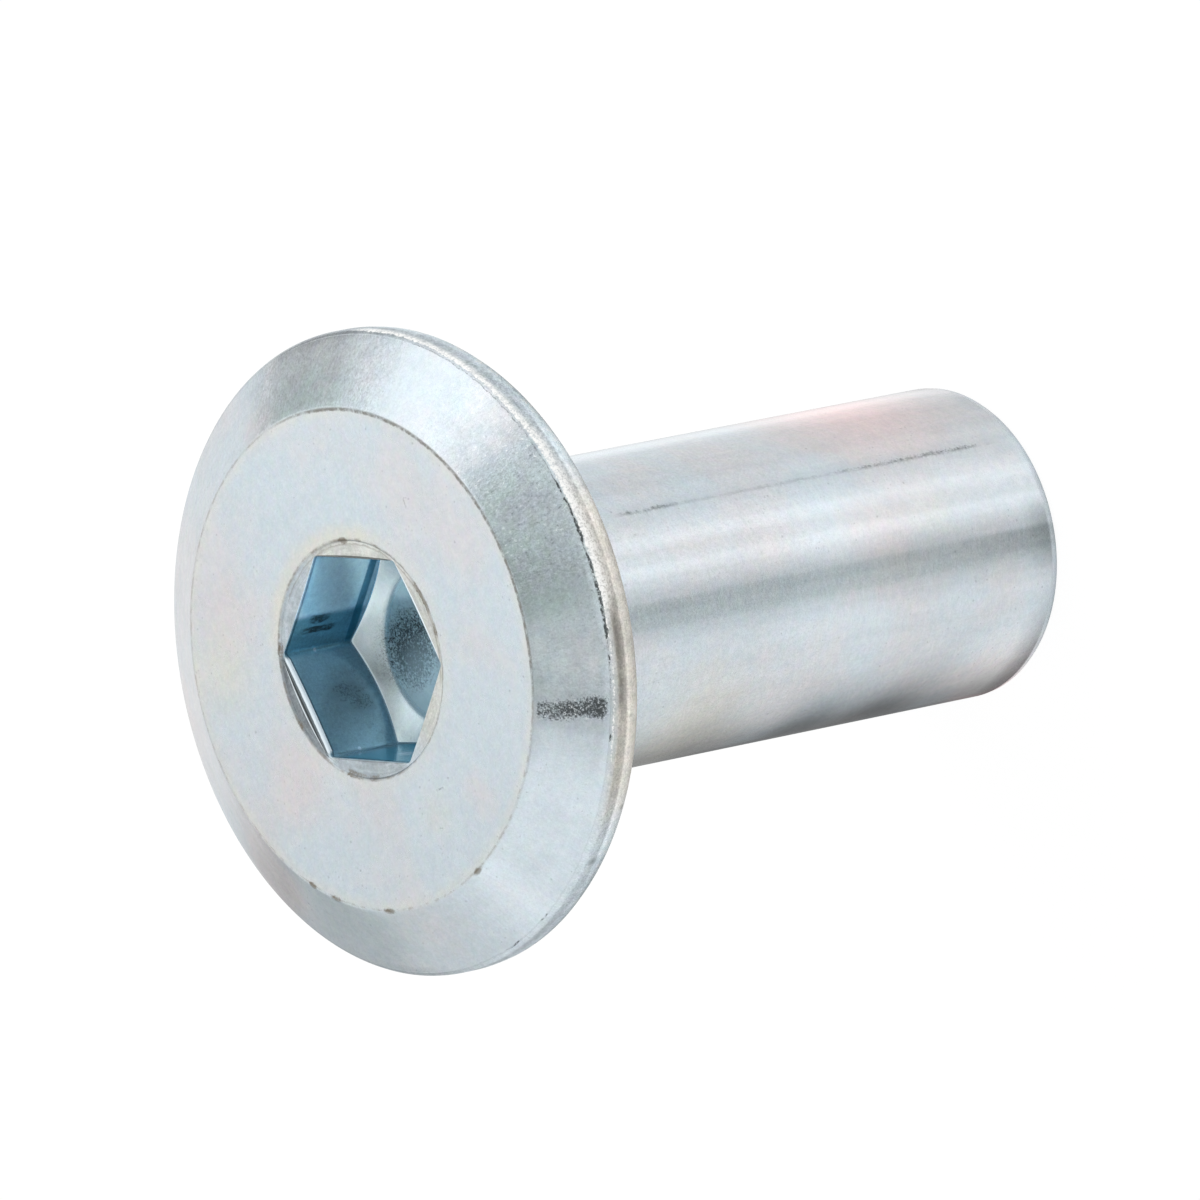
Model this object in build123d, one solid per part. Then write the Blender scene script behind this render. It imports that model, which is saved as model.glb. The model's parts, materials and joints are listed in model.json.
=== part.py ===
from build123d import *
import math
import os

# A cap nut in one piece of plated steel: a wide flat head with a bevelled edge and a hexagon
# socket, on a long plain sleeve that is tapped blind from its open end.
# Millimetres and degrees. The nut stands on its open end: the origin is the centre of that
# end's face, and +Z runs up the axis and out of the socket.

# Thread and sleeve
THREAD_SIZE = 6.0          # nominal diameter of the metric thread
THREAD_PITCH = 1.0
THREAD_LEAD_IN = 0.2       # how far the mouth's chamfer opens outside the thread
THREAD_LEAD_IN_ANGLE = 45.0
DRILL_POINT_ANGLE = 118.0  # the blind end of the bore, point to point
SLEEVE_WALL = 0.95         # outside the thread's nominal diameter
SLEEVE_LENGTH = 18.2       # open end to the head's underside
SLEEVE_END_ROUND = 0.25
SLEEVE_ROOT_ROUND = 0.3    # where the sleeve meets the head

# Head
HEAD_DIAMETER = 16.1
RIM_HEIGHT = 0.95          # the upright edge, from the underside to the bevel
RIM_UNDER_ROUND = 0.4
RIM_TOP_ROUND = 0.1
BEVEL_WIDTH = 1.8          # across, from the rim in to the flat face
BEVEL_DEPTH = 1.05         # down, from the flat face to the rim

# Socket
KEY_SIZE = 5.0             # across the hexagon's flats
SOCKET_CORNER_DEPTH = 2.3  # straight walls, measured at the corners
SOCKET_MOUTH_MARGIN = 0.1  # how far the dished mouth reaches past the corners
SOCKET_MOUTH_SLOPE = 9.0   # of the dished mouth, from the flat face
SOCKET_RING_WIDTH = 0.45   # sloping ring of the floor, from the flats in to the flat centre
SOCKET_RING_SLOPE = 27.0   # of that ring, from level
SOCKET_WEB = 1.4           # metal between the socket's floor and the tip of the bore

# Sizes that follow from the driving ones
SLEEVE_RADIUS = THREAD_SIZE / 2 + SLEEVE_WALL
HEAD_RADIUS = HEAD_DIAMETER / 2
FACE_RADIUS = HEAD_RADIUS - BEVEL_WIDTH
TOTAL_LENGTH = SLEEVE_LENGTH + RIM_HEIGHT + BEVEL_DEPTH
BORE_RADIUS = (THREAD_SIZE - THREAD_PITCH) / 2
KEY_CORNER_RADIUS = KEY_SIZE / math.sqrt(3)


def slope_rise(run, degrees):
    """Height gained over a level run on a slope."""
    return run * math.tan(math.radians(degrees))


def nearest_corner(sketch, x, z):
    """The sketch's corner closest to a point of the section."""
    return sketch.vertices().sort_by_distance((x, 0, z))[0]


def turned_solid(points):
    """A closed half section, given as radius and height, turned about the Z axis."""
    section = make_face(Plane.XZ * Polyline(*points, close=True))
    return revolve(section, Axis.Z)


def blank():
    """Head and sleeve as one turned solid with its edges rounded."""
    rim_top = SLEEVE_LENGTH + RIM_HEIGHT
    outline = Polyline(
        (0, 0),
        (SLEEVE_RADIUS, 0),
        (SLEEVE_RADIUS, SLEEVE_LENGTH),
        (HEAD_RADIUS, SLEEVE_LENGTH),
        (HEAD_RADIUS, rim_top),
        (FACE_RADIUS, TOTAL_LENGTH),
        (0, TOTAL_LENGTH),
        close=True,
    )
    section = make_face(Plane.XZ * outline)
    end_land = SLEEVE_WALL - THREAD_LEAD_IN
    overhang = HEAD_RADIUS - SLEEVE_RADIUS
    roundings = [
        (SLEEVE_RADIUS, 0, min(SLEEVE_END_ROUND, 0.8 * end_land)),
        (SLEEVE_RADIUS, SLEEVE_LENGTH, min(SLEEVE_ROOT_ROUND, 0.5 * overhang)),
        (HEAD_RADIUS, SLEEVE_LENGTH, min(RIM_UNDER_ROUND, 0.6 * RIM_HEIGHT, 0.4 * overhang)),
        (HEAD_RADIUS, rim_top, min(RIM_TOP_ROUND, 0.3 * RIM_HEIGHT, 0.5 * BEVEL_WIDTH)),
    ]
    for x, z, radius in roundings:
        section = fillet(nearest_corner(section, x, z), radius)
    return revolve(section, Axis.Z)


def socket_floor_depth():
    """Depth of the floor's flat centre below the head's face."""
    run = KEY_CORNER_RADIUS - KEY_SIZE / 2 + SOCKET_RING_WIDTH
    return SOCKET_CORNER_DEPTH + slope_rise(run, SOCKET_RING_SLOPE)


def socket():
    """The hexagon with its dished mouth and the sloping ring and flat centre of its floor."""
    prism = extrude(
        Plane.XY.offset(TOTAL_LENGTH) * RegularPolygon(KEY_SIZE / 2, 6, major_radius=False),
        -socket_floor_depth(),
    )
    ring_outer = KEY_CORNER_RADIUS + SOCKET_MOUTH_MARGIN
    ring_inner = KEY_SIZE / 2 - SOCKET_RING_WIDTH
    floor = TOTAL_LENGTH - socket_floor_depth()
    punch = turned_solid([
        (0, floor),
        (ring_inner, floor),
        (ring_outer, floor + slope_rise(ring_outer - ring_inner, SOCKET_RING_SLOPE)),
        (ring_outer, TOTAL_LENGTH),
        (0, TOTAL_LENGTH),
    ])
    dish_depth = slope_rise(ring_outer, SOCKET_MOUTH_SLOPE)
    dish = turned_solid([
        (0, TOTAL_LENGTH - dish_depth),
        (ring_outer, TOTAL_LENGTH),
        (0, TOTAL_LENGTH),
    ])
    return (prism & punch) + dish


def bore():
    """The tapping hole with the chamfer at its mouth and the drill's point at its blind end."""
    tip = TOTAL_LENGTH - socket_floor_depth() - SOCKET_WEB
    shoulder = tip - BORE_RADIUS / math.tan(math.radians(DRILL_POINT_ANGLE / 2))
    mouth = THREAD_SIZE / 2 + THREAD_LEAD_IN
    lead_in = (mouth - BORE_RADIUS) / math.tan(math.radians(THREAD_LEAD_IN_ANGLE))
    return turned_solid([
        (0, 0),
        (mouth, 0),
        (BORE_RADIUS, lead_in),
        (BORE_RADIUS, shoulder),
        (0, tip),
    ])


def cap_nut():
    return blank() - socket() - bore()


os.makedirs("parts", exist_ok=True)
nut = cap_nut()
nut.label = "cap_nut"
export_step(nut, "parts/cap_nut.step")
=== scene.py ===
import json
import math
from functools import reduce
from operator import add

import bpy
import numpy as np
from mathutils import Matrix, Vector


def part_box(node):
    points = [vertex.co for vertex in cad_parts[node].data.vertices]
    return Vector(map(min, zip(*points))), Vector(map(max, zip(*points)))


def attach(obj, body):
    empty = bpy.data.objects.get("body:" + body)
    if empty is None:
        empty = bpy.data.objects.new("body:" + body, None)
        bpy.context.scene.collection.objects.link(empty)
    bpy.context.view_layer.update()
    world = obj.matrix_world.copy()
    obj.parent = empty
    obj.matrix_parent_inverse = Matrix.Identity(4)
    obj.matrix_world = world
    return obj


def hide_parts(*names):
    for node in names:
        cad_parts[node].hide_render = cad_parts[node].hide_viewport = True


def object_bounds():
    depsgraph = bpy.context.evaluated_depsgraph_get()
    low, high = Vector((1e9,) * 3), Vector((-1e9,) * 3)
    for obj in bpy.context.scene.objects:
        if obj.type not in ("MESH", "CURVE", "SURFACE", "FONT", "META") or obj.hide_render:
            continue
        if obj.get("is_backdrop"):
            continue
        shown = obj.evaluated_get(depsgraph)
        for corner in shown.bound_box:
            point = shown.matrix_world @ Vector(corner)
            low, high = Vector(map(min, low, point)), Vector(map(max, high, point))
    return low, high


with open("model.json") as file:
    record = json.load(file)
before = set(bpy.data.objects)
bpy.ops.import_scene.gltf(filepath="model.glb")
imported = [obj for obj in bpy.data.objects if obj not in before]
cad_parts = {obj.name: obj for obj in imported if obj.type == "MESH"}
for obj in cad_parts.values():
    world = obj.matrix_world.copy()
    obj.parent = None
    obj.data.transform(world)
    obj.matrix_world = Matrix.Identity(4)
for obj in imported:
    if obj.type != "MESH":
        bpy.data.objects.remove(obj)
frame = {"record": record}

bl_info = {
    "name": "Connector Cap Nut",
    "version": (1, 0, 0),
    "blender": (4, 5, 0),
    "location": "3D View > Sidebar > Cap Nut",
    "description": "Zinc-plated cap nut with a hexagon socket, a plain sleeve and a tapped bore",
    "category": "Mesh",
}

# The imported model: its box, and the sizes that its mounts state
CAD_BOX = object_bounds()
NUT_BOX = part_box("cap_nut")
MOUNTS = {mount["name"]: mount for mount in frame["record"]["mounts"]}
MM = 0.001
TOTAL_LENGTH = NUT_BOX[1].z / MM
HEAD_RADIUS = NUT_BOX[1].y / MM
UNDERSIDE_HEIGHT = MOUNTS["head_underside"]["pos_m"][2] / MM
SLEEVE_RADIUS = MOUNTS["sleeve"]["dims"]["r_mm"]
BORE_RADIUS = MOUNTS["thread"]["dims"]["r_mm"]
BORE_WALL_LENGTH = MOUNTS["thread"]["dims"]["length_mm"]

# The turns of the mesh's columns round the axis, in radians, and half the angle of the drill's
# point
COLUMNS = 360
TURNS = np.arange(COLUMNS) / COLUMNS * math.tau
DRILL_HALF_ANGLE = math.radians(59)


# ---------------------------------------------------------------- sizes and colours

def length(name, description, default_mm):
    """A length property given in millimetres and held in metres."""
    return bpy.props.FloatProperty(name=name, description=description, default=default_mm * MM,
                                   unit="LENGTH", precision=5)


def angle(name, description, degrees):
    """An angle property given in degrees and held in radians."""
    return bpy.props.FloatProperty(name=name, description=description, default=math.radians(degrees),
                                   subtype="ANGLE")


def colour(name, description, rgb):
    """A linear colour property."""
    return bpy.props.FloatVectorProperty(name=name, description=description, default=rgb, size=3,
                                         subtype="COLOR", min=0.0, max=1.0)


class NutSizes(bpy.types.PropertyGroup):
    """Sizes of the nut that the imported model's box and mounts don't give."""
    bevel_width: length("Bevel width", "Across the bevel, from the rim in to the flat face", 1.8)
    bevel_depth: length("Bevel depth", "From the flat face down to the rim", 1.05)
    key_size: length("Key size", "Across the flats of the hexagon socket", 5.0)
    corner_depth: length("Corner depth", "Depth of the socket's walls at its corners", 2.3)
    mouth_margin: length("Mouth margin", "How far the dished mouth reaches past the corners", 0.1)
    mouth_step: length("Mouth step", "How deep the dish starts inside the mouth's edge", 0.05)
    mouth_slope: angle("Mouth slope", "Slope of the dished mouth from the flat face", 4.0)
    ring_width: length("Floor ring width", "Sloping ring of the socket's floor", 0.45)
    ring_slope: angle("Floor ring slope", "Slope of that ring from level", 27.0)
    thread_pitch: length("Thread pitch", "Rise of the thread in one turn", 1.0)
    thread_depth: length("Thread depth", "From the thread's crest to its root", 0.5)
    lead_in: length("Lead-in", "How far the bore's mouth opens outside its wall", 0.7)
    end_round: length("End round", "Rounding of the sleeve's open end", 0.25)


class PlatingFinish(bpy.types.PropertyGroup):
    """Colours and gloss of the zinc plating."""
    plate: colour("Plate", "Bare plated surface", (0.635, 0.715, 0.765))
    rose: colour("Rose tint", "Rosier film in places on the sleeve", (0.93, 0.72, 0.72))
    pink: colour("Pink tint", "Where the plating leans to pink", (0.70, 0.685, 0.70))
    sea: colour("Sea tint", "Where the plating leans to green", (0.53, 0.64, 0.64))
    straw: colour("Straw tint", "Where the plating leans to yellow", (0.72, 0.725, 0.67))
    rim: colour("Rim", "Rough upright edge of the head", (0.63, 0.61, 0.56))
    socket: colour("Socket walls", "Blue of the thicker film inside the socket", (0.28, 0.48, 0.60))
    # Colour of the painted reflections and painted highlights on the socket's walls
    socket_painted_light: colour("Socket lights", "Paler film on the socket's walls", (0.52, 0.75, 0.94))
    socket_teal: colour("Socket teal", "Greener film on the wall lowest in view", (0.10, 0.47, 0.68))
    socket_floor: colour("Socket floor", "Grey-blue of the socket's floor", (0.50, 0.60, 0.63))
    # Colour of the painted highlight on the socket's worn lip
    lip: colour("Lip", "Polished lip of the socket's wall", (0.80, 0.92, 1.0))
    # Colour of the bright worn edge and of the painted glints and highlights
    burr_and_glint: colour("Burr", "Bright ragged edge where the bevel meets the rim", (0.96, 0.96, 0.94))
    grime: colour("Grime", "Brown residue in the creases", (0.20, 0.17, 0.13))
    # Also the colour of the painted shade along the socket's lip and the face's edge
    soot: colour("Soot", "Grey of specks, scratches and scuffs", (0.05, 0.058, 0.060))
    roughness: bpy.props.FloatProperty(name="Roughness", description="Roughness of the plated surface",
                                       default=0.27, min=0.0, max=1.0)


class StudioSet(bpy.types.PropertyGroup):
    """Where the camera stands, and its lens."""
    azimuth: angle("Camera azimuth", "From the nut to the camera, anticlockwise from +X", -110.05)
    elevation: angle("Camera elevation", "Height of the camera above the horizon", 41.85)
    roll: angle("Camera roll", "Turn of the picture's top from upright, clockwise", 101.25)
    distance: length("Camera distance", "From the nut's middle to the camera", 483.5)
    aim_right: length("Aim right", "How far right of the nut's middle the camera aims", -1.485)
    lens_mm: bpy.props.FloatProperty(name="Lens", default=582.3,
                                     description="Focal length on a 36 mm sensor, in millimetres")
    lamp_azimuth: angle("Lamp azimuth", "From the nut to the soft lamp, anticlockwise from +X", -4.0)
    lamp_elevation: angle("Lamp elevation", "Height of the soft lamp above the horizon", 62.0)
    lamp_distance: length("Lamp distance", "From the nut to the soft lamp", 400.0)
    lamp_size: length("Lamp size", "Width of the soft lamp's disk", 250.0)
    lamp_power: bpy.props.FloatProperty(name="Lamp power", description="Power of the soft lamp",
                                        default=0.35, unit="POWER")


# ---------------------------------------------------------------- surfaces

def hexagon_radius(turn, across_flats, corner_round):
    """Distance from the axis to a hexagon's wall. A flat is half its size over the cosine of the
    angle from the flat's middle; near a corner the wall is a small circle centred on the line from
    axis to corner."""
    sixth = math.pi / 3
    from_corner = (turn + sixth / 2) % sixth - sixth / 2
    flat = across_flats / 2 / np.cos(np.abs(from_corner) - sixth / 2)
    centre = (across_flats / 2 - corner_round) / math.cos(sixth / 2)
    tangent = math.atan2(corner_round * math.sin(sixth / 2),
                         centre + corner_round * math.cos(sixth / 2))
    off_centre = centre * np.sin(from_corner)
    arc = centre * np.cos(from_corner) + np.sqrt(np.maximum(corner_round**2 - off_centre**2, 0))
    return np.where(np.abs(from_corner) < tangent, arc, flat)


def shortened(vectors):
    """Vectors along the last axis, brought to length one."""
    return vectors / np.linalg.norm(vectors, axis=-1, keepdims=True)


def rounded_profile(corners, rounds, spans, arc_steps=4):
    """Radius and height along a profile whose corners are rounded, for every turn at once. Each
    corner becomes a parabola that starts and ends one rounding length away on its two sides, and
    each side between two roundings is cut into equal spans. Also returns the station, which counts
    corners: a rounding's arc spans a hundredth on both sides of its corner's number."""
    corners = np.stack([np.broadcast_to(np.stack(np.broadcast_arrays(r, z), -1), (len(TURNS), 2))
                        for r, z in corners]).astype(float)
    rounds = [np.broadcast_to(size, TURNS.shape)[:, None] for size in rounds]
    points, stations = [], []
    arc = 0.01
    last = len(corners) - 1
    for i, corner in enumerate(corners):
        before = corners[max(i - 1, 0)] - corner
        after = corners[min(i + 1, last)] - corner
        if 0 < i < last:
            leave = corner + shortened(after) * rounds[i]
            enter = corner + shortened(before) * rounds[i]
            for t in np.linspace(0, 1, arc_steps + 1):
                points.append((1 - t)**2 * enter + 2 * t * (1 - t) * corner + t**2 * leave)
                stations.append(i + (t - 0.5) * 2 * arc)
        else:
            leave = corner
            points.append(corner)
            stations.append(float(i))
        if i < last:
            arrive = corners[i + 1] + shortened(-after) * rounds[i + 1]
            for k in range(1, spans[i]):
                t = k / spans[i]
                points.append(leave + (arrive - leave) * t)
                stations.append(i + arc + (1 - 2 * arc) * t)
    return np.stack(points), np.array(stations)


def thread_depth_at(phase, depth, pitch):
    """Depth of the thread's groove at a phase from 0 to 1 of its pitch: a flat crest a quarter of
    the pitch wide, a 60 degree flank down, a flat root and a flank back."""
    flank = depth * math.tan(math.radians(30)) / pitch
    crest = 0.25
    down = np.clip((phase - crest) / flank, 0, 1)
    up = np.clip((1 - phase) / flank, 0, 1)
    return depth * np.minimum(down, up), (0.0, crest, crest + flank, 1 - flank, 1.0)


def hold_corners(phase, corners, hold):
    """Moves phases onto the nearest thread corner within half a hold of it and spreads the rest
    evenly, so that the mesh follows the thread's edges."""
    knots, held = [], []
    for corner in corners:
        knots += [corner - hold / 2, corner + hold / 2]
        held += [corner, corner]
    return np.interp(phase, knots, held)


def threaded_wall(sizes, blind_end):
    """Radius and height of the bore's wall from its mouth up, on rings a tenth of a pitch apart.
    The radius is the greater of the lead-in cone and the thread, whose phase is height over pitch
    less the turn; its depth fades out over the last turn and a half before the plain end of the
    bore."""
    pitch, depth, lead_in = sizes["thread_pitch"], sizes["thread_depth"], sizes["lead_in"]
    rings_per_pitch, hold = 10, 0.9
    margin, run_in, run_out, plain_end, fade_turns = 0.06, 0.3, 0.5, 0.6, 1.5
    count = int((blind_end - 1 / rings_per_pitch) / pitch * rings_per_pitch)
    level = np.linspace(margin, blind_end - margin, count)[:, None]
    raw = level / pitch - TURNS / math.tau
    phase = raw % 1
    corners = thread_depth_at(phase, depth, pitch)[1]
    held = hold_corners(phase, corners, hold / rings_per_pitch)
    ease = np.clip((level - margin) / run_in, 0, 1)
    ease = ease * np.clip((blind_end - run_in - level) / run_out, 0, 1)
    height = level + (held - phase) * pitch * ease
    fade = np.clip((blind_end - plain_end - height) / (fade_turns * pitch), 0, 1)
    groove = thread_depth_at((height / pitch - TURNS / math.tau) % 1, depth, pitch)[0] * fade
    cone = BORE_RADIUS + lead_in - height
    return np.maximum(BORE_RADIUS + groove, cone), height


def outer_profile(sizes):
    """The nut's skin from the middle of the socket's floor out over the head and down to the open
    end. The corner between the socket's wall and its mouth is rounded widely on one side only, as a
    worn lip."""
    key, ring = sizes["key_size"], sizes["ring_width"]
    corner_round, mouth_edge = 0.12, 0.05
    hexagon = hexagon_radius(TURNS, key, corner_round)
    corner = key / math.sqrt(3)
    ring_inner = key / 2 - ring
    mouth = corner + sizes["mouth_margin"]
    ring_fall = math.tan(sizes["ring_slope"])
    floor = TOTAL_LENGTH - sizes["corner_depth"] - (corner - ring_inner) * ring_fall
    foot = floor + (hexagon - ring_inner) * ring_fall
    dish, dish_top = mouth - mouth_edge, TOTAL_LENGTH - sizes["mouth_step"]
    brink = dish_top - (dish - hexagon) * math.tan(sizes["mouth_slope"])
    face = HEAD_RADIUS - sizes["bevel_width"]
    rim_top = TOTAL_LENGTH - sizes["bevel_depth"]
    lip_middle, lip_half, lip_fade = math.pi / 2, math.radians(31), math.radians(4)
    plain_lip, worn_lip = 0.03, 0.11
    worn = np.clip((lip_half - np.abs(TURNS - lip_middle)) / lip_fade, 0, 1)
    lip = plain_lip + (worn_lip - plain_lip) * worn
    # Each corner: radius, height, rounding, and how many spans the side after it is cut into
    corners = [
        (0, floor, 0, 6),
        (ring_inner, floor, 0.12, 4),
        (hexagon, foot, 0.05, 8),
        (hexagon, brink, lip, 3),
        (dish, dish_top, 0.02, 1),
        (mouth, TOTAL_LENGTH, 0.03, 8),
        (face, TOTAL_LENGTH, 0.06, 9),
        (HEAD_RADIUS, rim_top, 0.12, 5),
        (HEAD_RADIUS, UNDERSIDE_HEIGHT, 0.45, 5),
        (SLEEVE_RADIUS, UNDERSIDE_HEIGHT, 0.28, 20),
        (SLEEVE_RADIUS, 0, sizes["end_round"], 3),
        (BORE_RADIUS + sizes["lead_in"], 0, 0, 0),
    ]
    radii, heights, rounds, spans = zip(*corners)
    return rounded_profile(zip(radii, heights), rounds, spans)


def nut_surface(sizes):
    """Radius, height and station of the whole nut: its outer skin, then the threaded wall and the
    blind end."""
    skin, stations = outer_profile(sizes)
    blind_end = BORE_WALL_LENGTH + sizes["lead_in"]
    wall_radius, wall_height = threaded_wall(sizes, blind_end)
    tip_rise = BORE_RADIUS / math.tan(DRILL_HALF_ANGLE)
    steps = np.array([0.0, 0.25, 0.5, 0.75])[:, None]
    flat = np.ones_like(TURNS)
    point_radius = BORE_RADIUS * (1 - steps) * flat
    point_height = (blind_end + tip_rise * steps) * flat
    radius = np.vstack([skin[1:, :, 0], wall_radius, point_radius])
    height = np.vstack([skin[1:, :, 1], wall_height, point_height])
    last = stations[-1]
    wall_station = last + np.linspace(0.1, 1, len(wall_radius))
    station = np.concatenate([stations[1:], wall_station, last + 1 + steps[:, 0]])
    poles = (skin[0, 0, 1], blind_end + tip_rise)
    return radius, height, station, poles


def lathe_mesh(name, radius, height, station, poles):
    """A closed mesh from rings of radius and height, one column for each turn, with a pole at each
    end. The station goes into a point attribute, so that a material knows where on the profile it
    is."""
    rings, columns = radius.shape
    shape = np.stack([radius * np.cos(TURNS), radius * np.sin(TURNS), height], -1).reshape(-1, 3)
    points = np.vstack([shape, [[0, 0, poles[0]], [0, 0, poles[1]]]]) * MM
    i, j = np.meshgrid(np.arange(rings - 1), np.arange(columns), indexing="ij")
    k = (j + 1) % columns
    here, above = i * columns, (i + 1) * columns
    quads = np.stack([here + j, above + j, above + k, here + k], -1)
    ring = np.arange(columns)
    after = (ring + 1) % columns
    first = np.full(columns, rings * columns)
    base = (rings - 1) * columns
    first_cap = np.stack([first, ring, after], -1)
    last_cap = np.stack([first + 1, base + after, base + ring], -1)
    caps = np.vstack([first_cap, last_cap])
    mesh = bpy.data.meshes.new(name)
    mesh.from_pydata(points, [], quads.reshape(-1, 4).tolist() + caps.tolist())
    mesh.shade_smooth()
    where = mesh.attributes.new("station", "FLOAT", "POINT")
    values = np.concatenate([np.repeat(station, columns), [0.0, station[-1] + 0.25]])
    where.data.foreach_set("value", values.astype(np.float32))
    mesh.validate()
    mesh.update()
    return mesh


# ---------------------------------------------------------------- shader maths

class Value:
    """One output of a shader node. Arithmetic on it adds Math nodes to its tree."""

    def __init__(self, tree, socket):
        self.tree = tree
        self.socket = socket

    def math(self, operation, *others):
        inputs = dict(enumerate((self, *others)))
        return self.tree.node("ShaderNodeMath", {"operation": operation}, inputs)

    def __add__(self, other):
        return self.math("ADD", other)

    def __sub__(self, other):
        return self.math("SUBTRACT", other)

    def __mul__(self, other):
        return self.math("MULTIPLY", other)

    def __truediv__(self, other):
        return self.math("DIVIDE", other)

    def __rsub__(self, other):
        return self.tree.node("ShaderNodeMath", {"operation": "SUBTRACT"}, {0: other, 1: self})

    def at_least(self, limit):
        return self.math("MAXIMUM", limit)

    def at_most(self, limit):
        return self.math("MINIMUM", limit)

    def size(self):
        return self.math("ABSOLUTE")

    def swing(self, amount):
        """A noise's swing about its middle level, so much from its lowest to its highest."""
        return (self - 0.5) * amount

    def output(self, name):
        """Another output of the same node."""
        return Value(self.tree, self.socket.node.outputs[name])

    __radd__ = __add__
    __rmul__ = __mul__


class Tree:
    """A node tree being filled."""

    def __init__(self, owner):
        owner.use_nodes = True
        self.links = owner.node_tree.links
        self.nodes = owner.node_tree.nodes
        self.nodes.clear()

    def node(self, kind, settings=None, inputs=None, output=0):
        """Adds a node: its settings first, then the values or links of its sockets, which are named
        by index, name or identifier. Returns the asked output, or nothing for a node that has
        none."""
        made = self.nodes.new(kind)
        for key, value in (settings or {}).items():
            setattr(made, key, value)
        for key, value in (inputs or {}).items():
            if isinstance(key, int):
                socket = made.inputs[key]
            else:
                socket = next(s for s in made.inputs if key in (s.identifier, s.name))
            if isinstance(value, Value):
                self.links.new(value.socket, socket)
            else:
                socket.default_value = value
        return Value(self, made.outputs[output]) if made.outputs else None

    def noise(self, place, scale, detail=2.0, roughness=0.5, distortion=0.0, output=0):
        """Noise from 0 to 1 at so many cells a millimetre."""
        inputs = {"Vector": place, "Scale": scale, "Detail": detail, "Roughness": roughness,
                  "Distortion": distortion}
        return self.node("ShaderNodeTexNoise", {}, inputs, output)

    def ease(self, value, low, high, start=0.0, end=1.0):
        """A smooth step of a value from one level to another between two limits."""
        inputs = {"Value": value, "From Min": low, "From Max": high, "To Min": start, "To Max": end}
        return self.node("ShaderNodeMapRange", {"interpolation_type": "SMOOTHSTEP"}, inputs)

    def band(self, value, low, high, soft):
        """One between two limits and nothing outside them, with soft edges."""
        rise = self.ease(value, low - soft, low + soft)
        return rise * self.ease(value, high - soft, high + soft, 1.0, 0.0)

    def blend(self, factor, first, second):
        """A mix of two colours."""
        return self.node("ShaderNodeMix", {"data_type": "RGBA"},
                         {"Factor_Float": factor, "A_Color": first, "B_Color": second}, 2)

    def vector(self, operation, first, *others, output=0):
        """Vector arithmetic."""
        return self.node("ShaderNodeVectorMath", {"operation": operation},
                         dict(enumerate((first, *others))), output)

    def stretch(self, place, scale):
        """A vector scaled along each axis."""
        return self.vector("MULTIPLY", place, scale)

    def dot(self, first, second):
        """How far the first vector reaches along the second, times the second's length."""
        return self.vector("DOT_PRODUCT", first, second, output="Value")

    def distance(self, first, second):
        """Distance between two places."""
        return self.vector("DISTANCE", first, second, output="Value")

    def shade(self, tint, tone):
        """A colour made lighter or darker by a factor."""
        return self.node("ShaderNodeVectorMath", {"operation": "SCALE"}, {0: tint, "Scale": tone})


def rgba(colour_value):
    """A colour property as four numbers."""
    return (*colour_value, 1.0)


def total(values):
    """Sum of values."""
    return reduce(add, values)


def direction(azimuth, elevation):
    """Unit vector from an azimuth and an elevation, in radians."""
    flat = math.cos(elevation)
    return Vector((math.cos(azimuth) * flat, math.sin(azimuth) * flat, math.sin(elevation)))


# ---------------------------------------------------------------- where the plating's marks lie

# Stations of the profile's corners, as outer_profile lists them
RING_INNER, FOOT, BRINK, DISH, MOUTH, FACE_EDGE = range(1, 7)
RIM_TOP, RIM_FOOT, ROOT, SLEEVE_END, BORE_MOUTH = range(7, 12)

# In millimetres, the radii of the crease round the flat face and of the two lines round the mouth
FACE_CREASE = 6.235
MOUTH_LINE = (2.97, 3.02)
INNER_LINE = (2.86, 2.88)

# In degrees, the azimuth of the sleeve's long scratch, and of the scuff's inner and outer ends
SCRATCH_AZIMUTH = 284.6
SCUFF_AZIMUTHS = (231.3, 232.9)


def face_spots(*spots):
    """Spots at the level of the flat face, listed without their height."""
    return tuple((turn, radius, TOTAL_LENGTH, *rest) for turn, radius, *rest in spots)


def sleeve_spots(*spots):
    """Spots on the sleeve's wall, listed without their radius."""
    return tuple((turn, SLEEVE_RADIUS, *rest) for turn, *rest in spots)


# Soft spots: azimuth in degrees, radius, height and reach in millimetres, and strength
PINK_TINTS = (
    (323, 3.9, 4.5, 3.4, 2.2), (186, 3.9, 1.0, 2.6, 1.2), (205, 3.9, 4.5, 2.5, 0.5),
    (112, 4.1, 20.2, 1.8, 0.9), (50, 4.4, 20.2, 1.6, 0.7), (75, 7.2, 19.6, 2.6, 0.6),
    (112, 7.3, 19.6, 1.8, 1.0), (203, 4.9, 20.2, 1.3, 0.6))
STRAW_TINTS = (
    (66, 5.1, 20.2, 1.6, 0.8), (182, 4.4, 20.2, 1.0, 0.4), (186, 3.9, 12.0, 3.5, 0.8),
    (262, 3.9, 4.0, 1.2, 0.3))
ROSE_TINTS = sleeve_spots((326, 4.0, 3.2, 0.9), (168, 0.6, 1.8, 1.0))
# Painted reflections along the sleeve: lighter and darker places where the surroundings it mirrors are
# bright or dark
SLEEVE_PAINTED_REFLECTIONS = sleeve_spots(
    (184, 1.4, 2.8, 0.50), (170, 4.8, 2.0, -0.65), (167, 7.4, 2.2, -0.60), (165, 10.0, 2.0, -0.35),
    (182, 9.5, 2.2, 0.35), (184, 13.2, 2.2, 0.20), (243, 7.5, 3.5, 0.10))
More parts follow.
